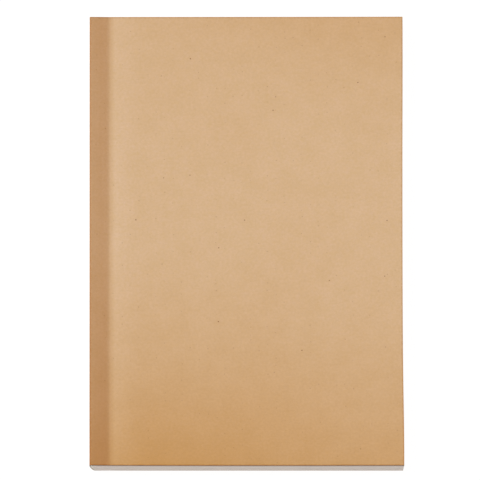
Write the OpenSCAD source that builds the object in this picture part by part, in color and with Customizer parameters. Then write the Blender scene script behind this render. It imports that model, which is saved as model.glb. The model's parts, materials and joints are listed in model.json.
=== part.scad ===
// Pocket notebook: a perfect-bound block of single leaves in one flexible kraft cover.
//
// Frame: origin under the middle of the closed book, on the surface that it lies on.
// X runs from the spine to the fore-edge, Y from the tail to the head, Z up through the front cover.
// The cover and the leaves bend at the hinge crease, so each is divided there: what lies between the
// spine and the crease stays with the binding, and what lies beyond it turns.

/* [Book] */
// Width of the closed book, from the spine to the fore-edge
book_w = 101.6; // [85:0.1:130]
// Height of the book, from the tail to the head
book_h = 152.4; // [120:0.1:200]

/* [Cover] */
// Thickness of the kraft cover stock
cover_t = 0.35; // [0.25:0.05:0.5]
// Distance of the hinge crease from the spine
hinge_w = 6.4; // [4:0.1:9]
// Width of the score pressed along the crease
score_w = 0.8; // [0.4:0.1:1.4]
// Depth of the score pressed along the crease
score_depth = 0.15; // [0.05:0.05:0.2]

/* [Spine] */
// How far the back edge of the spine is rounded in
round_inset = 1.4; // [0.2:0.1:1.4]
// Share of the thickness over which the spine is rounded
round_share = 0.95; // [0.3:0.05:0.95]
// Thickness of the adhesive between the spine and the leaves
spine_glue_t = 0.5; // [0.3:0.1:0.8]
// Thickness of the adhesive between each hinge strip and the outer leaf
side_glue_t = 0.1; // [0.05:0.05:0.2]

/* [Leaves] */
// Number of leaves
leaf_count = 48; // [24:4:48]
// Thickness of one leaf
leaf_t = 0.10; // [0.08:0.01:0.14]
// Air between two leaves
leaf_gap = 0.01; // [0.01:0.01:0.02]

/* [Hinge] */
// Clearance at the crease between what stays and what turns
hinge_gap = 0.02; // [0.02:0.01:0.04]

/* [Hidden] */
leaf_pitch = leaf_t + leaf_gap;
block_t = leaf_count * leaf_pitch - leaf_gap;
book_t = 2 * (cover_t + side_glue_t) + block_t;

spine_x = -book_w / 2;
fore_x = book_w / 2;
hinge_x = spine_x + hinge_w;
turning_x = hinge_x + hinge_gap;
turning_w = fore_x - turning_x;

// The rounded part of the spine is an arc that meets the upright part without a corner
round_h = round_share * book_t;
round_r = (pow(round_h, 2) + pow(round_inset, 2)) / (2 * round_inset);

kraft = [0.82, 0.67, 0.50];
kraft_strip = [0.75, 0.59, 0.42];
paper = [0.95, 0.94, 0.90];
adhesive = [0.90, 0.86, 0.74];

$fn = 128;

// The first leaf lies under the front cover, and the last one on the back cover
function leaf_z(i) = cover_t + side_glue_t + (leaf_count - i) * leaf_pitch;
function leaf_name(i) = str("leaf_", i < 10 ? "0" : "", i);

// Draws a cross-section, x across the book and y up, along the whole height of the book
module along_height() {
    translate([0, book_h / 2, 0])
        rotate([90, 0, 0])
            linear_extrude(height = book_h)
                children();
}

// Cross-section of everything that lies more than inset inside the outer face of the spine
module inside_spine(inset) {
    reach = hinge_w + 1;
    translate([spine_x + inset, round_h])
        square([reach, book_t - round_h]);
    intersection() {
        translate([spine_x + round_r, round_h])
            circle(r = round_r - inset);
        translate([spine_x + inset, 0])
            square([reach, round_h]);
    }
}

// Cross-section of a layer between the spine and the crease
module bound_layer(z, t, inset) {
    intersection() {
        inside_spine(inset);
        translate([spine_x, z])
            square([hinge_w, t]);
    }
}

// Cross-section of an upright layer that follows the spine, between the two cover sheets
module spine_layer(inset, t) {
    intersection() {
        difference() {
            inside_spine(inset);
            inside_spine(inset + t);
        }
        translate([spine_x, cover_t])
            square([hinge_w, book_t - 2 * cover_t]);
    }
}

// Cross-section of the score pressed into the cover's outer face at height z
module score(z) {
    translate([hinge_x, z])
        polygon([[-score_w / 2, 0], [0, score_depth], [score_w / 2, 0], [0, -score_depth]]);
}

// One cover panel, from the crease to the fore-edge: its lower face is at z, its outer face at outer_z
module cover_panel(z, outer_z) {
    color(kraft) along_height() difference() {
        translate([turning_x, z])
            square([turning_w, cover_t]);
        score(outer_z);
    }
}

// One hinge strip, from the spine to the crease
module hinge_strip(z, outer_z) {
    color(kraft_strip) along_height() difference() {
        bound_layer(z, cover_t, 0);
        score(outer_z);
    }
}

module front_cover_panel() {
    cover_panel(book_t - cover_t, book_t);
}

module back_cover_panel() {
    cover_panel(0, 0);
}

module front_hinge_strip() {
    hinge_strip(book_t - cover_t, book_t);
}

module back_hinge_strip() {
    hinge_strip(0, 0);
}

module spine_panel() {
    color(kraft) along_height() spine_layer(0, cover_t);
}

module spine_glue() {
    color(adhesive) along_height() spine_layer(cover_t, spine_glue_t);
}

// Adhesive that holds a hinge strip to the leaf beside it
module side_glue(z) {
    color(adhesive) along_height() bound_layer(z, side_glue_t, cover_t + spine_glue_t);
}

module front_side_glue() {
    side_glue(book_t - cover_t - side_glue_t);
}

module back_side_glue() {
    side_glue(cover_t);
}

// The bound edge of every leaf, from the spine adhesive to the crease
module bound_leaf_edges() {
    for (i = [1 : leaf_count])
        color(paper) along_height() bound_layer(leaf_z(i), leaf_t, cover_t + spine_glue_t);
}

// The free part of one leaf, from the crease to the fore-edge
module leaf(i) {
    color(paper)
        translate([turning_x, -book_h / 2, leaf_z(i)])
            cube([turning_w, book_h, leaf_t]);
}

front_cover_panel();
front_hinge_strip();
spine_panel();
back_hinge_strip();
back_cover_panel();
spine_glue();
front_side_glue();
back_side_glue();
bound_leaf_edges();
for (i = [1 : leaf_count])
    leaf(i);
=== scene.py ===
"""Looks of the pocket notebook: continuous kraft cover sheets, 48 paper leaves and the binding adhesive,
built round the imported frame. Lengths are in metres, and material patterns are laid out in millimetres."""

import json
import math
import random

import bmesh
import bpy
import numpy as np
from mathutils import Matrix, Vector


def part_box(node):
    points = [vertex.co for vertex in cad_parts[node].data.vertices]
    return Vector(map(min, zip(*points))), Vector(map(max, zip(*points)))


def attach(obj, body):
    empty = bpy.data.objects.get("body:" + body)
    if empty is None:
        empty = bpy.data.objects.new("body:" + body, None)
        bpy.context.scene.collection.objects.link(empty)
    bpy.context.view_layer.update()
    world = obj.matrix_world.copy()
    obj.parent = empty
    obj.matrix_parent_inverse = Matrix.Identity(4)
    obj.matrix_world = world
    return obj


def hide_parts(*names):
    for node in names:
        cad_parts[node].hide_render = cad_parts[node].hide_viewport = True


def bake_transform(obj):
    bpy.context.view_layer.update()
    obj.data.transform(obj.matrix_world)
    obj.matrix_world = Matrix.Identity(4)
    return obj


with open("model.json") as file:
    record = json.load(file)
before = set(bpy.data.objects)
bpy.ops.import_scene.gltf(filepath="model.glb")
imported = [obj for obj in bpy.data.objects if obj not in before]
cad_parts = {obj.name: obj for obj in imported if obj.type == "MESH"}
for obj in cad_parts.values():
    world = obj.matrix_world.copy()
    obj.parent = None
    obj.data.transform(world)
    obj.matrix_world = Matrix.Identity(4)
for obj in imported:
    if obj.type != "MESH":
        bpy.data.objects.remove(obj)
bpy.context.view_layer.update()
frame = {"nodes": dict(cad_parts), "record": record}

MM = 0.001

# ---------------------------------------------------------------- sizes, from the frame

strip_low, strip_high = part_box("front_hinge_strip")
panel_low, panel_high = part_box("front_cover_panel")

SPINE_X = strip_low.x
HINGE_X = strip_high.x
FORE_X = panel_high.x
TAIL_Y = panel_low.y
HEAD_Y = panel_high.y
BOOK_T = panel_high.z
COVER_T = panel_high.z - panel_low.z
HINGE_W = HINGE_X - SPINE_X
PANEL_W = FORE_X - HINGE_X
HALF_H = (HEAD_Y - TAIL_Y) / 2
LEAF_COUNT = sum(name.startswith("leaf_") for name in frame["nodes"])

# The rounded part of the spine, and the thickness of the adhesive on its inside, as in the CAD
ROUND_INSET = 1.4 * MM
ROUND_H = 0.95 * BOOK_T
ROUND_R = (ROUND_H**2 + ROUND_INSET**2) / (2 * ROUND_INSET)
SPINE_GLUE_T = 0.5 * MM

# Places along the cover sheet, measured from the middle of the spine
FOLD_AT = BOOK_T / 2
CREASE_AT = FOLD_AT + HINGE_W
FORE_AT = CREASE_AT + PANEL_W

# ---------------------------------------------------------------- shape of the used book

FOLD_R = 0.45 * MM  # outer radius of the folds at the spine's edges
CREASE_DEPTH = 0.08 * MM  # how far the cover is pressed down at the hinge crease
CREASE_WIDTH = 3.0 * MM  # how far that depth reaches into the cover panel
LEAF_CREASE_DEPTH = 0.04 * MM  # how far the crease presses the outer leaves
SCORE_DEPTH = 0.03 * MM  # how much deeper the cover is along the line of the crease
SCORE_WIDTH = 0.5 * MM
SPINE_SWELL = 0.12 * MM  # how far the adhesive thickens the block at the spine
COVER_LIFT = 0.3 * MM  # how far the front cover stands off the block at its corners
MIDDLE_LIFT = 0.55  # share of that lift halfway up the fore-edge
LEAF_LIFT_SHARE = 0.75  # share of the cover's lift taken by the loose leaves
FORE_BULGE = 0.42 * MM  # how far the fore-edge is pushed out near the tail
HEAD_BULGE = 0.20 * MM  # and near the head
BULGE_AT = 0.95  # where both are greatest, as a share of the way from the middle to the tail or head
TAIL_BULGE_WIDTH = 0.33  # how far they reach along the fore-edge, as shares of the same way
HEAD_BULGE_WIDTH = 0.5
BULGE_AT_BACK = 0.2  # share of both that the back cover has
SPINE_SKEW = 0.13 * MM  # how far the spine stands out at the head and in at the tail
SPINE_PULL = 0.12 * MM  # how far the front cover's tail edge is drawn in at the spine
PULL_WIDTH = 22 * MM  # how far that reaches beyond the hinge crease
BACK_SHIFT = 0.15 * MM  # how far the back cover lies towards the head from the front cover
COVER_WAVE = 0.05 * MM  # height, at the fore-edge, of each of two slanting waves in the front cover
WAVE_ONE = (31, 62)  # radians to the metre across and up the cover
WAVE_TWO = (-48, 27)
WAVE_TWO_START = 1  # radians
TRIM_JITTER = 0.03 * MM  # how unevenly the leaves are trimmed
TAIL_RECESS = 0.05 * MM  # how far the leaves stop short of the cover at the tail
GLUE_RECESS = 0.08 * MM  # how far the adhesive stops short of the cover at the tail and the head
SIDE_GLUE_SHORT = 0.3 * MM  # how far the adhesive under the hinge strips stops short of the crease
CLEARANCE = 0.004 * MM  # between two layers that touch
LEAF_BEND_W = 12 * MM  # width of a leaf that bends when it turns
SHARP_ANGLE = math.radians(40)  # faces that meet at more than this have a sharp edge between them

# Rows of vertices along the height of the book, and steps between the columns across it
ROWS = 41
GLUE_ROWS = 25
LEAF_ROWS = 13
FOLD_STEPS = 12  # in the arc of one fold
SPINE_STEPS = 17  # in the arc of the spine
COVER_STEPS = (21, 23, 26, 13)  # in the far panel, the near panel, the crease and the strip
NEAR_PANEL = 8 * MM  # how far the near panel reaches from the crease
CREASE_BEYOND = 1.2 * MM  # how far the crease's fine columns reach into the panel
CREASE_BEFORE = 0.8 * MM  # and into the strip
LEAST_STEP = 0.2 * MM  # from the end of the back cover's fold to its next column
LEAF_STEPS = (4, 20, 8)  # in the bound edge, the part that bends and the rest
SIDE_GLUE_COLUMNS = 9

# Third coordinates of the patterns in millimetres, which keep them apart from sheet to sheet
INNER_FACE_APART = 3
LEAVES_APART = 7
SPINE_GLUE_PATTERN = 400
SIDE_GLUE_PATTERN = 450


def share_up(z):
    """0 in the back cover, 1 in the front cover, and between them for the layers of the block."""
    return np.clip((z - COVER_T) / (BOOK_T - 2 * COVER_T), 0, 1)


def settle(x, y, z, crease_depth, score_depth, lift):
    """The place of a point of the true, flat book in the pressed, used one.
    lift is the share of the front cover's lift that the point takes."""
    up = share_up(z)
    to_spine = np.clip((HINGE_X - x) / HINGE_W, 0, 1)
    beyond = np.maximum(x - HINGE_X, 0)
    to_fore = np.clip(beyond / PANEL_W, 0, 1)
    crease = np.where(x < HINGE_X, 1 - to_spine, 1 / (1 + (beyond / CREASE_WIDTH) ** 2))
    score = np.exp(-(((x - HINGE_X) / SCORE_WIDTH) ** 2))
    pressed = crease_depth * crease + score_depth * score
    corner = MIDDLE_LIFT + (1 - MIDDLE_LIFT) * (y / HALF_H) ** 2
    wave_one = np.sin(x * WAVE_ONE[0] + y * WAVE_ONE[1])
    wave_two = np.sin(x * WAVE_TWO[0] + y * WAVE_TWO[1] + WAVE_TWO_START)
    wave = COVER_WAVE * to_fore * (wave_one + wave_two)
    dz = SPINE_SWELL * to_spine * up - pressed * (2 * up - 1)
    dz = dz + lift * (COVER_LIFT * to_fore**2 * corner + wave * to_fore)
    near_tail = np.exp(-(((y + BULGE_AT * HALF_H) / (TAIL_BULGE_WIDTH * HALF_H)) ** 2))
    near_head = np.exp(-(((y - BULGE_AT * HALF_H) / (HEAD_BULGE_WIDTH * HALF_H)) ** 2))
    bulge = FORE_BULGE * near_tail + HEAD_BULGE * near_head
    bulge = bulge * (BULGE_AT_BACK + (1 - BULGE_AT_BACK) * up)
    pull = SPINE_PULL * np.exp(-beyond / PULL_WIDTH) * (1 - y / HALF_H) / 2
    dy = pull * up + BACK_SHIFT * (1 - up)
    skew = SPINE_SKEW * y / HALF_H * (1 - to_fore)
    return x + bulge * to_fore - skew, y + dy, z + dz


def spine_outline(z, inset=0):
    """X, at height z, of the surface that lies inset inside the spine's outer face."""
    below = np.maximum(ROUND_H - z, 0)
    return SPINE_X + ROUND_R - np.sqrt((ROUND_R - inset) ** 2 - below**2)


# ---------------------------------------------------------------- meshes


def columns_through(places, steps):
    """Places from the first to the last, with each span between two divided evenly in its own steps."""
    columns = [places[:1]]
    for start, end, count in zip(places, places[1:], steps):
        columns.append(np.linspace(start, end, count + 1)[1:])
    return np.concatenate(columns)


def grid_faces(rows, columns, first, faces, material):
    """Quads of one grid of vertices that begins at index first."""
    for j in range(rows - 1):
        for i in range(columns - 1):
            a = first + j * columns + i
            faces.append(((a, a + 1, a + columns + 1, a + columns), material))


def sheet_mesh(name, outer, inner, ys, along, third, materials):
    """A closed sheet between two surfaces. outer and inner are arrays of points, rows by columns by 3.
    along is each column's place along the flat sheet, and third sets its patterns apart from other sheets'.
    The first of the materials is on both faces, and the second on the four cut edges."""
    rows, columns = outer.shape[:2]
    count = rows * columns
    points = np.concatenate([outer.reshape(-1, 3), inner.reshape(-1, 3)])
    faces = []
    grid_faces(rows, columns, 0, faces, 0)
    grid_faces(rows, columns, count, faces, 0)
    for j in range(rows - 1):
        for i in (0, columns - 1):
            a = j * columns + i
            faces.append(((a, a + columns, a + columns + count, a + count), 1))
    for i in range(columns - 1):
        for j in (0, rows - 1):
            a = j * columns + i
            faces.append(((a, a + 1, a + 1 + count, a + count), 1))
    mesh = bpy.data.meshes.new(name)
    mesh.from_pydata(points.tolist(), [], [corners for corners, _ in faces])
    for polygon, (_, material) in zip(mesh.polygons, faces):
        polygon.material_index = material
    flat = np.zeros((2, rows, columns, 3))
    flat[..., 0] = np.asarray(along)[None, None, :]
    flat[..., 1] = np.asarray(ys)[None, :, None]
    flat /= MM
    flat[0, ..., 2] = third
    flat[1, ..., 2] = third + INNER_FACE_APART
    attribute = mesh.attributes.new("sheet_mm", "FLOAT_VECTOR", "POINT")
    attribute.data.foreach_set("vector", flat.astype(np.float32).ravel())
    work = bmesh.new()
    work.from_mesh(mesh)
    bmesh.ops.recalc_face_normals(work, faces=work.faces)
    work.to_mesh(mesh)
    work.free()
    mesh.shade_smooth()
    mesh.set_sharp_from_angle(angle=SHARP_ANGLE)
    for material in materials:
        mesh.materials.append(material)
    piece = bpy.data.objects.new(name, mesh)
    bpy.context.scene.collection.objects.link(piece)
    return piece


def surface(path, ys, crease_depth, score_depth, lift):
    """The settled points of a path of (x, z) points, repeated in rows along the height of the book."""
    path = np.asarray(path)
    x = np.broadcast_to(path[None, :, 0], (len(ys), len(path)))
    z = np.broadcast_to(path[None, :, 1], x.shape)
    y = np.broadcast_to(np.asarray(ys)[:, None], x.shape)
    return np.stack(settle(x, y, z, crease_depth, score_depth, lift), axis=-1)


# ---------------------------------------------------------------- materials


def linear(red, green, blue):
    """A colour given as 8-bit screen values, in scene-linear values."""
    values = []
    for v in (red, green, blue):
        v /= 255
        values.append(v / 12.92 if v <= 0.04045 else ((v + 0.055) / 1.055) ** 2.4)
    return values


def shade(colour, factor):
    return (*(c * factor for c in colour), 1)


class Nodes:
    """Short calls that build one material's node tree."""

    def __init__(self, name):
        self.material = bpy.data.materials.new(name)
        self.material.use_nodes = True
        self.tree = self.material.node_tree
        self.shader = self.tree.nodes["Principled BSDF"]

    def add(self, kind, inputs=None, **settings):
        node = self.tree.nodes.new(kind)
        for key, value in settings.items():
            setattr(node, key, value)
        for key, value in (inputs or {}).items():
            self.put(value, node.inputs[key])
        return node

    def put(self, value, socket):
        if isinstance(value, bpy.types.NodeSocket):
            self.tree.links.new(value, socket)
        else:
            socket.default_value = value

    def math(self, operation, *values, clamp=False):
        inputs = dict(enumerate(values))
        return self.add("ShaderNodeMath", inputs, operation=operation, use_clamp=clamp).outputs[0]

    def ramp(self, value, low, high, to_low=0.0, to_high=1.0):
        """value from low to high, eased to to_low to to_high."""
        inputs = {"Value": value, "From Min": low, "From Max": high, "To Min": to_low, "To Max": to_high}
        return self.add("ShaderNodeMapRange", inputs, interpolation_type="SMOOTHSTEP").outputs[0]

    def noise(self, place, scale, detail=3.0, roughness=0.55, distortion=0.0, stretch=None, turn=0.0):
        """Noise with scale features to the millimetre, stretched and turned in the sheet's plane."""
        if stretch:
            mapping = {"Vector": place, "Scale": stretch, "Rotation": (0, 0, turn)}
            place = self.add("ShaderNodeMapping", mapping).outputs[0]
        inputs = {"Vector": place, "Scale": scale, "Detail": detail, "Roughness": roughness,
                  "Distortion": distortion}
        return self.add("ShaderNodeTexNoise", inputs).outputs["Fac"]

    def mix(self, factor, a, b, blend="MIX"):
        node = self.add("ShaderNodeMix", data_type="RGBA", blend_type=blend)
        self.put(factor, node.inputs[0])
        self.put(a, node.inputs[6])
        self.put(b, node.inputs[7])
        return node.outputs[2]

    def tint(self, colour, factor, tint):
        """The colour multiplied by a tint, as far as factor says."""
        return self.mix(factor, colour, self.mix(1.0, colour, tint, "MULTIPLY"))

    def sheet_place(self):
        """Place on the flat sheet in millimetres: the vector, then its first and second coordinates."""
        place = self.add("ShaderNodeAttribute", attribute_name="sheet_mm").outputs["Vector"]
        parts = self.add("ShaderNodeSeparateXYZ", {0: place}).outputs
        return place, parts[0], parts[1]

    def finish(self, colour, roughness, height, depth, specular=0.3):
        """Ties up the shader. height is a 0 to 1 relief, depth its size in metres."""
        self.put(colour, self.shader.inputs["Base Color"])
        self.put(roughness, self.shader.inputs["Roughness"])
        self.shader.inputs["Specular IOR Level"].default_value = specular
        bump = self.add("ShaderNodeBump", {"Strength": 1.0, "Distance": depth, "Height": height})
        self.put(bump.outputs[0], self.shader.inputs["Normal"])
        return self.material


# Colours as they look in even light of this strength on a level surface
LIGHT = 1.10
KRAFT_MIDDLE = shade(linear(214, 178, 138), 1 / LIGHT)
# Colour at the tail: browner kraft, with painted shade where the light falls off towards the tail
KRAFT_TAIL_BROWN_AND_SHADED = shade(linear(197, 147, 87), 1 / LIGHT)
KRAFT_SOAKED_AND_SHADED = (0.795, 0.675, 0.563, 1)  # what the adhesive under the strip does to the kraft, with painted shade of the hinge crease on top
KRAFT_RUBBED_AND_HIGHLIT = (1.035, 1.055, 1.11, 1)  # what rubbing and a painted highlight of the slope out of the crease do to it beside the crease
KRAFT_RIM = (0.80, 0.66, 0.50, 1)  # how much darker it is along its edges and folds
# Cut edge: dark kraft core, darkened further as painted shade of the gap under the cover's edge
KRAFT_CORE_SHADED = shade(linear(104, 70, 36), 1 / LIGHT)
KRAFT_SCUFFED = shade(linear(214, 206, 196), 1 / LIGHT)
SPECK = shade(linear(136, 88, 40), 1 / LIGHT)
FAINT = 0.32  # strength of the many faint flecks beside the few dark ones
PAPER = shade(linear(240, 236, 228), 1 / LIGHT)
PAPER_EDGE = shade(linear(235, 220, 211), 1 / LIGHT)
ADHESIVE = shade(linear(230, 224, 208), 1 / LIGHT)

# Darkest and palest of each pattern in the kraft, as factors on its colour
MOTTLE = ((0.980, 0.974, 0.945, 1), (1.020, 1.026, 1.055, 1))
GRAIN = ((0.962, 0.948, 0.900, 1), (1.038, 1.052, 1.100, 1))
TINGE = ((1.000, 0.990, 0.935, 1), (1.000, 1.010, 1.065, 1))
HAIR = ((0.992, 0.988, 0.978, 1), (1.030, 1.035, 1.055, 1))

# How steeply the darker, browner tone grows towards each end, and its share at the spine and at the
# fore-edge; it is partly the kraft's uneven colour and partly painted shade where the light falls off
TAIL_GROWTH = 1.55
TAIL_AT_SPINE = 0.78
TAIL_AT_FORE = 0.68
HEAD_GROWTH = 3.0
HEAD_AT_SPINE = 0.10
HEAD_AT_FORE = 0.33


def fibres(nodes, place):
    """Short fibres at several slants, from 0 to 1."""
    layers = []
    for turn, scale in ((0.35, 0.9), (-0.6, 1.1), (1.35, 1.0)):
        layers.append(nodes.noise(place, scale, 3, 0.6, 0.6, stretch=(0.5, 4.0, 1.0), turn=turn))
    top = nodes.math("MAXIMUM", nodes.math("MAXIMUM", layers[0], layers[1]), layers[2])
    return nodes.ramp(top, 0.45, 0.85)


def specks(nodes, place, scale, radius_mm, share):
    """Sparse dark flecks: a strength of 0.4 to 1 inside each, and 0 elsewhere.
    scale is the number of cells to the millimetre, and share the part of the cells that have a fleck."""
    bent = nodes.add("ShaderNodeVectorMath", {0: place}, operation="ADD")
    wobble = nodes.add("ShaderNodeTexNoise", {"Vector": place, "Scale": 2.5})
    shifted = nodes.add("ShaderNodeVectorMath", {0: wobble.outputs["Color"], "Scale": 0.25},
                        operation="SCALE")
    nodes.put(shifted.outputs[0], bent.inputs[1])
    cells = nodes.add("ShaderNodeTexVoronoi", {"Vector": bent.outputs[0], "Scale": scale},
                      voronoi_dimensions="2D")
    colour = nodes.add("ShaderNodeSeparateColor", {0: cells.outputs["Color"]}).outputs
    near = nodes.ramp(cells.outputs["Distance"], radius_mm * scale, 0.4 * radius_mm * scale)
    chosen = nodes.math("GREATER_THAN", colour[0], 1 - share)
    strength = nodes.ramp(colour[1], 0, 1, 0.4, 1)
    return nodes.math("MULTIPLY", nodes.math("MULTIPLY", near, chosen), strength)


def browned_and_shaded_share(nodes, across, up):
    """How far the kraft is darker and browner, 0 to 1, partly its own uneven colour and partly painted
    shade where the light falls off: most at the tail, less at its fore-edge side, a little at the head."""
    fold, fore, half_h = FOLD_AT / MM, FORE_AT / MM, HALF_H / MM
    to_tail = nodes.math("MAXIMUM", nodes.math("DIVIDE", up, -half_h), 0.0)
    to_head = nodes.math("MAXIMUM", nodes.math("DIVIDE", up, half_h), 0.0)
    tail = nodes.math("POWER", to_tail, TAIL_GROWTH)
    tail = nodes.math("MULTIPLY", tail, nodes.ramp(across, fold, fold + 20, TAIL_AT_SPINE, 1.0))
    tail = nodes.math("MULTIPLY", tail, nodes.ramp(across, fold + 20, fore - 8, 1.0, TAIL_AT_FORE))
    head = nodes.math("POWER", to_head, HEAD_GROWTH)
    to_fore = nodes.ramp(across, fold, fold + 60, HEAD_AT_SPINE, HEAD_AT_FORE)
    head = nodes.math("MULTIPLY", head, to_fore)
    return nodes.math("ADD", tail, head)


def kraft_material():
    """Uncoated kraft: mottled, with fibres and flecks, darker and browner towards the tail, partly as
    painted shade, and stained through by the adhesive under the hinge strips, with painted shade of the
    crease there too and a painted highlight beside it."""
    nodes = Nodes("kraft_cover")
    place, along, up = nodes.sheet_place()
    across = nodes.math("ABSOLUTE", along)
    fold, crease, fore, half_h = FOLD_AT / MM, CREASE_AT / MM, FORE_AT / MM, HALF_H / MM

    clouds = nodes.noise(place, 0.022, 3, 0.5)
    uneven = nodes.ramp(clouds, 0.3, 0.7, -0.05, 0.05)
    # Darker and browner towards the tail and a little at the head: partly uneven kraft, partly painted
    # shade where the light falls off
    browned_and_shaded = nodes.math("ADD", browned_and_shaded_share(nodes, across, up), uneven, clamp=True)
    colour = nodes.mix(browned_and_shaded, KRAFT_MIDDLE, KRAFT_TAIL_BROWN_AND_SHADED)

    # The hinge strip: an adhesive stain, darkened further by painted shade of the crease
    soaked_and_shaded = nodes.ramp(across, crease - 1.4, crease + 1.5, 1.0, 0.0)
    soaked_and_shaded = nodes.math("MULTIPLY", soaked_and_shaded, nodes.ramp(across, fold, fold + 3.5, 0.88, 1.0))
    streaks = nodes.noise(place, 0.5, 2, 0.5, stretch=(1.6, 0.05, 1.0))
    soaked_and_shaded = nodes.math("MULTIPLY", soaked_and_shaded, nodes.ramp(streaks, 0.3, 0.7, 0.93, 1.0))
    colour = nodes.tint(colour, soaked_and_shaded, KRAFT_SOAKED_AND_SHADED)

    # Paler beside the crease: rubbing, and a painted highlight where the cover rises out of the crease
    # towards the light
    rubbed_and_highlit = nodes.ramp(across, crease + 0.8, crease + 2.0)
    rubbed_and_highlit = nodes.math("MULTIPLY", rubbed_and_highlit, nodes.ramp(across, crease + 2.0, crease + 11, 1.0, 0.0))
    colour = nodes.tint(colour, rubbed_and_highlit, KRAFT_RUBBED_AND_HIGHLIT)

    to_edge = nodes.math("MINIMUM", nodes.math("SUBTRACT", fore, across),
                         nodes.math("SUBTRACT", half_h, nodes.math("ABSOLUTE", up)))
    to_fold = nodes.math("ABSOLUTE", nodes.math("SUBTRACT", across, fold))
    ragged = nodes.noise(place, 0.9, 3, 0.6)
    rim = nodes.ramp(nodes.math("MINIMUM", to_edge, to_fold), 0.0, nodes.ramp(ragged, 0.3, 0.7, 0.35, 0.8),
                     1.0, 0.0)
    colour = nodes.tint(colour, rim, KRAFT_RIM)

    mottle = nodes.ramp(nodes.noise(place, 0.14, 4, 0.6), 0.25, 0.75)
    grain = nodes.ramp(nodes.noise(place, 1.2, 4, 0.65), 0.25, 0.75)
    tinge = nodes.ramp(nodes.noise(place, 0.8, 4, 0.75, 0.5), 0.25, 0.75)
    hair = fibres(nodes, place)
    for pattern, (darkest, palest) in ((mottle, MOTTLE), (grain, GRAIN), (tinge, TINGE), (hair, HAIR)):
        colour = nodes.mix(1.0, colour, nodes.mix(pattern, darkest, palest), "MULTIPLY")

    flecks = specks(nodes, place, scale=0.36, radius_mm=0.26, share=0.16)
    flecks = nodes.math("MULTIPLY", flecks, FAINT)
    dark = specks(nodes, place, scale=0.11, radius_mm=0.27, share=0.12)
    colour = nodes.mix(nodes.math("MAXIMUM", dark, flecks), colour, SPECK)

    relief = nodes.math("ADD", nodes.math("MULTIPLY", hair, 0.6), nodes.math("MULTIPLY", grain, 0.3))
    roughness = nodes.ramp(grain, 0.0, 1.0, 0.74, 0.92)
    return nodes.finish(colour, roughness, relief, depth=0.025 * MM, specular=0.28)


def kraft_core_material():
    """The cut edge of the kraft: dark and torn, darkened further by painted shade of the gap under the
    cover's edge, and scuffed pale at the spine and under the book.
    """
    nodes = Nodes("kraft_cut_edge")
    place, along, _ = nodes.sheet_place()
    torn = nodes.noise(place, 2.2, 4, 0.7)
    # Dark core with painted shade of the gap under the cover's edge, torn darker in patches
    colour = nodes.mix(nodes.ramp(torn, 0.3, 0.7), KRAFT_CORE_SHADED, shade(KRAFT_CORE_SHADED[:3], 0.7))
    scuffed = nodes.ramp(along, FOLD_AT / MM, FOLD_AT / MM - 2, 0.0, 0.9)
    colour = nodes.mix(scuffed, colour, KRAFT_SCUFFED)
    roughness = nodes.ramp(torn, 0.2, 0.8, 0.8, 0.95)
    return nodes.finish(colour, roughness, torn, depth=0.04 * MM, specular=0.2)


def paper_material():
    """The face of a leaf: smooth uncoated paper with a faint cloudy formation."""
    nodes = Nodes("page_paper")
    place, _, _ = nodes.sheet_place()
    formation = nodes.noise(place, 0.35, 4, 0.6)
    tooth = nodes.noise(place, 3.5, 3, 0.6)
    tone = nodes.math("ADD", nodes.ramp(formation, 0.3, 0.7, 0.985, 1.01),
                      nodes.ramp(tooth, 0.3, 0.7, -0.012, 0.012))
    grey = nodes.add("ShaderNodeCombineColor", {0: tone, 1: tone, 2: tone}).outputs[0]
    colour = nodes.mix(1.0, PAPER, grey, "MULTIPLY")
    roughness = nodes.ramp(tooth, 0.2, 0.8, 0.72, 0.86)
    return nodes.finish(colour, roughness, tooth, depth=0.012 * MM, specular=0.3)


def paper_edge_material():
    """The trimmed edges of the leaves: knife-cut, each a little different in tone."""
    nodes = Nodes("page_cut_edge")
    place, _, _ = nodes.sheet_place()
    leaf_tone = nodes.add("ShaderNodeAttribute", attribute_name="leaf_tone").outputs["Fac"]
    drag = nodes.noise(place, 0.6, 4, 0.65)
    fine = nodes.noise(place, 3.0, 3, 0.6)
    tone = nodes.math("ADD", leaf_tone, nodes.ramp(drag, 0.3, 0.7, -0.06, 0.05))
    tone = nodes.math("ADD", tone, nodes.ramp(fine, 0.3, 0.7, -0.03, 0.03))
    grey = nodes.add("ShaderNodeCombineColor", {0: tone, 1: tone, 2: tone}).outputs[0]
    colour = nodes.mix(1.0, PAPER_EDGE, grey, "MULTIPLY")
    roughness = nodes.ramp(fine, 0.2, 0.8, 0.8, 0.95)
    return nodes.finish(colour, roughness, fine, depth=0.02 * MM, specular=0.2)


def adhesive_material():
    """Hot-melt adhesive: cream, waxy, a little uneven."""
    nodes = Nodes("binding_glue")
    place, _, _ = nodes.sheet_place()
    flow = nodes.noise(place, 0.7, 3, 0.55, 0.4)
    colour = nodes.mix(nodes.ramp(flow, 0.3, 0.7), ADHESIVE, shade(ADHESIVE[:3], 0.86))
    roughness = nodes.ramp(flow, 0.2, 0.8, 0.35, 0.55)
    return nodes.finish(colour, roughness, flow, depth=0.06 * MM, specular=0.5)


KRAFT = kraft_material()
KRAFT_EDGE = kraft_core_material()
PAGE = paper_material()
PAGE_EDGE = paper_edge_material()
GLUE = adhesive_material()

# ---------------------------------------------------------------- cover


def front_columns():
    """X of the columns of a cover panel and its hinge strip, from the fore-edge to the spine's fold."""
    crease = (HINGE_X + CREASE_BEYOND, HINGE_X - CREASE_BEFORE)
    return columns_through((FORE_X, HINGE_X + NEAR_PANEL, *crease, SPINE_X + FOLD_R), COVER_STEPS)


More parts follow.
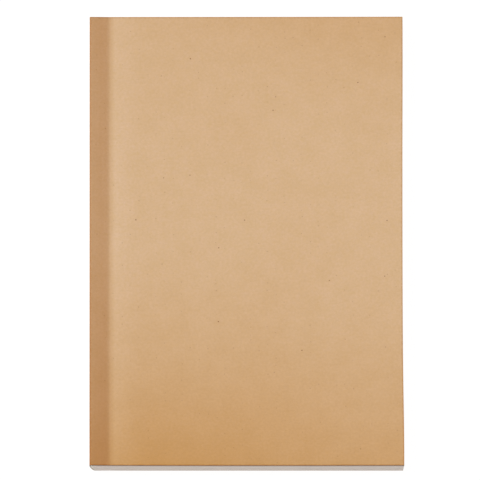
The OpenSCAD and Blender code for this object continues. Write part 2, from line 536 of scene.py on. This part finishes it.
def cover_path():
    """The cover's core line as (x, z, angle of its outward normal), from the front fore-edge to the back's,
    and the indices at which the sheet is divided, in the middle of each fold at the spine."""
    path = [(x, BOOK_T - FOLD_R, math.pi / 2) for x in front_columns()]
    core_r = ROUND_R - FOLD_R
    start_angle = math.pi + math.asin((ROUND_H - BOOK_T + FOLD_R) / core_r)
    end_angle = math.pi + math.asin((ROUND_H - FOLD_R) / core_r)
    fold_x = SPINE_X + ROUND_R + core_r * math.cos(start_angle)
    for angle in np.linspace(math.pi / 2, start_angle, FOLD_STEPS + 1)[1:]:
        path.append((fold_x, BOOK_T - FOLD_R, angle))
    front_cut = len(path) - 1 - FOLD_STEPS // 2
    for angle in np.linspace(start_angle, end_angle, SPINE_STEPS + 1)[1:]:
        x = SPINE_X + ROUND_R + core_r * math.cos(angle)
        path.append((x, ROUND_H + core_r * math.sin(angle), angle))
    low_x = path[-1][0]
    for angle in np.linspace(end_angle, 1.5 * math.pi, FOLD_STEPS + 1)[1:]:
        path.append((low_x, FOLD_R, angle))
    back_cut = len(path) - 1 - FOLD_STEPS // 2
    back = [x for x in front_columns()[::-1] if x > low_x + LEAST_STEP]
    path += [(x, FOLD_R, 1.5 * math.pi) for x in back]
    return np.array(path), front_cut, back_cut


def offset(path, distance):
    """The path's points moved out along their normals."""
    out = path[:, :2].copy()
    out[:, 0] += distance * np.cos(path[:, 2])
    out[:, 1] += distance * np.sin(path[:, 2])
    return out


def build_cover():
    path, front_cut, back_cut = cover_path()
    outer = offset(path, FOLD_R)
    inner = offset(path, FOLD_R - COVER_T)
    steps = np.hypot(*np.diff(outer, axis=0).T)
    travelled = np.concatenate([[0], np.cumsum(steps)])
    known = [0, travelled[front_cut], travelled[back_cut], travelled[-1]]
    along = np.interp(travelled, known, [FORE_AT, FOLD_AT, -FOLD_AT, -FORE_AT])
    ys = np.linspace(TAIL_Y, HEAD_Y, ROWS)
    parts = (
        ("front_cover_sheet", slice(0, front_cut + 1), 1.0),
        ("spine_sheet", slice(front_cut, back_cut + 1), 0.0),
        ("back_cover_sheet", slice(back_cut, len(path)), 0.0),
    )
    made = []
    for name, part, lift in parts:
        piece = sheet_mesh(
            name,
            surface(outer[part], ys, CREASE_DEPTH, SCORE_DEPTH, lift),
            surface(inner[part], ys, CREASE_DEPTH, SCORE_DEPTH, lift),
            ys, along[part], 0, (KRAFT, KRAFT_EDGE),
        )
        made.append(piece)
    front, spine, back = made
    for piece, body in ((front, "front_cover"), (back, "back_cover")):
        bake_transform(piece)
    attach(spine, "binding")
    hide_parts("front_cover_panel", "front_hinge_strip")
    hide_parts("spine_panel")
    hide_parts("back_cover_panel", "back_hinge_strip")


# ---------------------------------------------------------------- leaves

LEAF_SEED = 48  # of the small differences between the leaves
GAPS = (0.2, 0.3, 0.5, 3.0)  # relative sizes of the gaps between the lifted leaves
GAP_SPREAD = (0.6, 1.4)
EDGE_TONE = 0.92  # of the cut edges near the front cover, as a factor on their colour
EDGE_TONE_RISE = 0.14  # from there to the back cover
EDGE_TONE_SPREAD = (-0.05, 0.04)
BAND_STRENGTH = 0.15
BAND_TURN = 13.7  # radians that the bands go through, from the first leaf to the last
BAND_START = 1.8  # radians
EDGE_SHADOW = 0.5
EDGE_SHADOW_DEPTH = 0.07  # share of the block that the shadow of the cover's edge reaches into


def lift_shares(rng):
    """Each leaf's share of the cover's lift, from the first leaf to the last, with a few wide gaps."""
    steps = [rng.choice(GAPS) * rng.uniform(*GAP_SPREAD) for _ in range(LEAF_COUNT)]
    total = sum(steps)
    shares, sum_so_far = [], 0.0
    for step in reversed(steps):
        shares.append(LEAF_LIFT_SHARE * sum_so_far / total)
        sum_so_far += step
    return shares[::-1]


def body_of_node():
    """The body that each CAD node belongs to."""
    bodies = frame["record"]["behaviour"]["bodies"]
    return {node: body for body, nodes in bodies.items() for node in nodes}


def cut_edge_tone(depth, rng):
    """Tone of a leaf's cut edges, with depth 0 for the first leaf and 1 for the last: dark beside the front
    cover, then paler towards the back, in faint bands."""
    bands = BAND_STRENGTH * (1 - depth / 2) * math.cos(depth * BAND_TURN + BAND_START)
    shadowed = EDGE_SHADOW * math.exp(-((depth / EDGE_SHADOW_DEPTH) ** 2))
    return EDGE_TONE + EDGE_TONE_RISE * depth**2 + bands - shadowed + rng.uniform(*EDGE_TONE_SPREAD)


def build_leaves():
    rng = random.Random(LEAF_SEED)
    shares = lift_shares(rng)
    bodies = body_of_node()
    for number in range(1, LEAF_COUNT + 1):
        node = f"leaf_{number:02d}"
        low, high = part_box(node)
        bound_x = float(spine_outline(low.z, COVER_T + SPINE_GLUE_T)) + CLEARANCE
        fore_x = FORE_X + rng.uniform(-1, 0.4) * TRIM_JITTER
        columns = columns_through((bound_x, HINGE_X, HINGE_X + LEAF_BEND_W, fore_x), LEAF_STEPS)
        ys = np.linspace(TAIL_Y, HEAD_Y, LEAF_ROWS)
        ys[0] += TAIL_RECESS + rng.uniform(-1, 1) * TRIM_JITTER
        ys[-1] += rng.uniform(-1, 0.3) * TRIM_JITTER
        share = shares[number - 1]
        top = [(x, high.z) for x in columns]
        bottom = [(x, low.z) for x in columns]
        leaf = sheet_mesh(
            node + "_sheet",
            surface(top, ys, LEAF_CREASE_DEPTH, 0, share),
            surface(bottom, ys, LEAF_CREASE_DEPTH, 0, share),
            ys, columns, LEAVES_APART * number, (PAGE, PAGE_EDGE),
        )
        cut_tone = cut_edge_tone((number - 1) / (LEAF_COUNT - 1), rng)
        tone = leaf.data.attributes.new("leaf_tone", "FLOAT", "POINT")
        tone.data.foreach_set("value", [cut_tone] * len(leaf.data.vertices))
        body = bodies[node]
        if body == "binding":
            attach(leaf, body)
        else:
            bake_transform(leaf)
        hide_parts(node)
    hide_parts("bound_leaf_edges")


# ---------------------------------------------------------------- adhesive


def build_adhesive():
    ys = np.linspace(TAIL_Y + GLUE_RECESS, HEAD_Y - GLUE_RECESS, GLUE_ROWS)
    path, front_cut, back_cut = cover_path()
    half_fold = FOLD_STEPS // 2
    spine_path = path[front_cut + half_fold:back_cut - half_fold + 1]
    left = offset(spine_path, FOLD_R - COVER_T - 2 * CLEARANCE)
    heights = left[:, 1]
    right = np.stack([spine_outline(heights, COVER_T + SPINE_GLUE_T) - CLEARANCE, heights], axis=-1)
    spine = sheet_mesh(
        "spine_glue_layer",
        surface(left, ys, CREASE_DEPTH, SCORE_DEPTH, 0),
        surface(right, ys, LEAF_CREASE_DEPTH, 0, 0),
        ys, heights, SPINE_GLUE_PATTERN, (GLUE, GLUE),
    )
    layers = [(spine, "spine_glue")]

    for side, cover_z, leaf_node, leaf_corner in (
        ("front", BOOK_T - COVER_T, "leaf_01", 1),
        ("back", COVER_T, f"leaf_{LEAF_COUNT}", 0),
    ):
        leaf_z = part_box(leaf_node)[leaf_corner].z
        start = float(spine_outline(min(leaf_z, cover_z), COVER_T + SPINE_GLUE_T)) + CLEARANCE
        columns = np.linspace(start, HINGE_X - SIDE_GLUE_SHORT, SIDE_GLUE_COLUMNS)
        toward_leaf = math.copysign(CLEARANCE, leaf_z - cover_z)
        by_cover = [(x, cover_z + toward_leaf) for x in columns]
        by_leaf = [(x, leaf_z - toward_leaf) for x in columns]
        layer = sheet_mesh(
            f"{side}_side_glue_layer",
            surface(by_cover, ys, CREASE_DEPTH, SCORE_DEPTH, 0),
            surface(by_leaf, ys, LEAF_CREASE_DEPTH, 0, 0),
            ys, columns, SIDE_GLUE_PATTERN, (GLUE, GLUE),
        )
        layers.append((layer, f"{side}_side_glue"))
    for layer, node in layers:
        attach(layer, "binding")
        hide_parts(node)


build_cover()
build_leaves()
build_adhesive()

# ---------------------------------------------------------------- floor, light and camera

FLOOR_Z = -0.77 * MM  # just under the fold of the back cover when that lies open beside the book
FLOOR_GREY = 0.12
FLOOR_GLOW = 0.93  # keeps the floor white under and beside the book
FLOOR_HALF = 40.0  # metres from its middle to each edge
AMBIENT = 0.50  # brightness of the white studio as a light
BACKDROP = 1.05  # and as the camera sees it, behind the floor

# The two suns: strength, direction as in add_sun(), and the angle that they are spread over
KEY = 2.46
KEY_SIDE = math.radians(118)
KEY_HEIGHT = math.radians(39)
KEY_SOFTNESS = math.radians(35)
FILL = 0.35
FILL_SIDE = math.radians(-20)
FILL_HEIGHT = math.radians(55)
FILL_SOFTNESS = math.radians(60)

VIEW_HEIGHT = math.radians(72.9)  # of the camera above the floor, as seen from the book
LENS = 1500.0  # in millimetres, like the sensor
SENSOR = 36.0
VIEW_WIDTH = 156.0 * MM  # what the frame spans across the notebook
AIM_RIGHT = -1.95 * MM  # in the view, from the frame's origin to the point aimed at
AIM_UP = 1.98 * MM
CLIP_END = 100.0


def build_floor():
    nodes = Nodes("pale_floor")
    geometry = nodes.add("ShaderNodeNewGeometry").outputs["Position"]
    grain = nodes.noise(geometry, 900.0, 2, 0.5)
    grey = (FLOOR_GREY, FLOOR_GREY, FLOOR_GREY, 1)
    nodes.finish(grey, 0.9, grain, depth=0.01 * MM, specular=0.1)
    nodes.shader.inputs["Emission Color"].default_value = (1, 1, 1, 1)
    nodes.shader.inputs["Emission Strength"].default_value = FLOOR_GLOW
    mesh = bpy.data.meshes.new("floor")
    f = FLOOR_HALF
    corners = [(-f, -f, FLOOR_Z), (f, -f, FLOOR_Z), (f, f, FLOOR_Z), (-f, f, FLOOR_Z)]
    mesh.from_pydata(corners, [], [(0, 1, 2, 3)])
    mesh.materials.append(nodes.material)
    floor = bpy.data.objects.new("floor", mesh)
    bpy.context.scene.collection.objects.link(floor)


def add_sun(name, strength, azimuth, height, softness):
    """A sun that shines from an azimuth, 0 behind the camera and 90 degrees to its left, and from a height
    above the floor."""
    light = bpy.data.lights.new(name, "SUN")
    light.energy = strength
    light.angle = softness
    lamp = bpy.data.objects.new(name, light)
    toward = Vector((-math.sin(azimuth) * math.cos(height), -math.cos(azimuth) * math.cos(height),
                     math.sin(height)))
    lamp.rotation_euler = toward.to_track_quat("Z", "Y").to_euler()
    bpy.context.scene.collection.objects.link(lamp)


def build_light():
    world = bpy.data.worlds.new("studio")
    world.use_nodes = True
    tree = world.node_tree
    background = tree.nodes["Background"]
    background.inputs["Color"].default_value = (1, 1, 1, 1)
    seen = tree.nodes.new("ShaderNodeLightPath").outputs["Is Camera Ray"]
    strength = tree.nodes.new("ShaderNodeMapRange")
    tree.links.new(seen, strength.inputs["Value"])
    strength.inputs["To Min"].default_value = AMBIENT
    strength.inputs["To Max"].default_value = BACKDROP
    tree.links.new(strength.outputs[0], background.inputs["Strength"])
    bpy.context.scene.world = world
    add_sun("key", KEY, KEY_SIDE, KEY_HEIGHT, KEY_SOFTNESS)
    add_sun("fill", FILL, FILL_SIDE, FILL_HEIGHT, FILL_SOFTNESS)
    bpy.context.scene.view_settings.view_transform = "Standard"


def build_camera():
    data = bpy.data.cameras.new("camera")
    data.lens = LENS
    data.sensor_width = SENSOR
    data.clip_end = CLIP_END
    camera = bpy.data.objects.new("camera", data)
    back = Vector((0, -math.cos(VIEW_HEIGHT), math.sin(VIEW_HEIGHT)))
    up = Vector((0, math.sin(VIEW_HEIGHT), math.cos(VIEW_HEIGHT)))
    aim = Vector((AIM_RIGHT, 0, 0)) + up * AIM_UP
    camera.location = aim + back * (LENS / SENSOR * VIEW_WIDTH)
    camera.rotation_mode = "QUATERNION"
    camera.rotation_quaternion = back.to_track_quat("Z", "Y")
    bpy.context.scene.collection.objects.link(camera)
    bpy.context.scene.camera = camera


build_floor()
build_light()
build_camera()
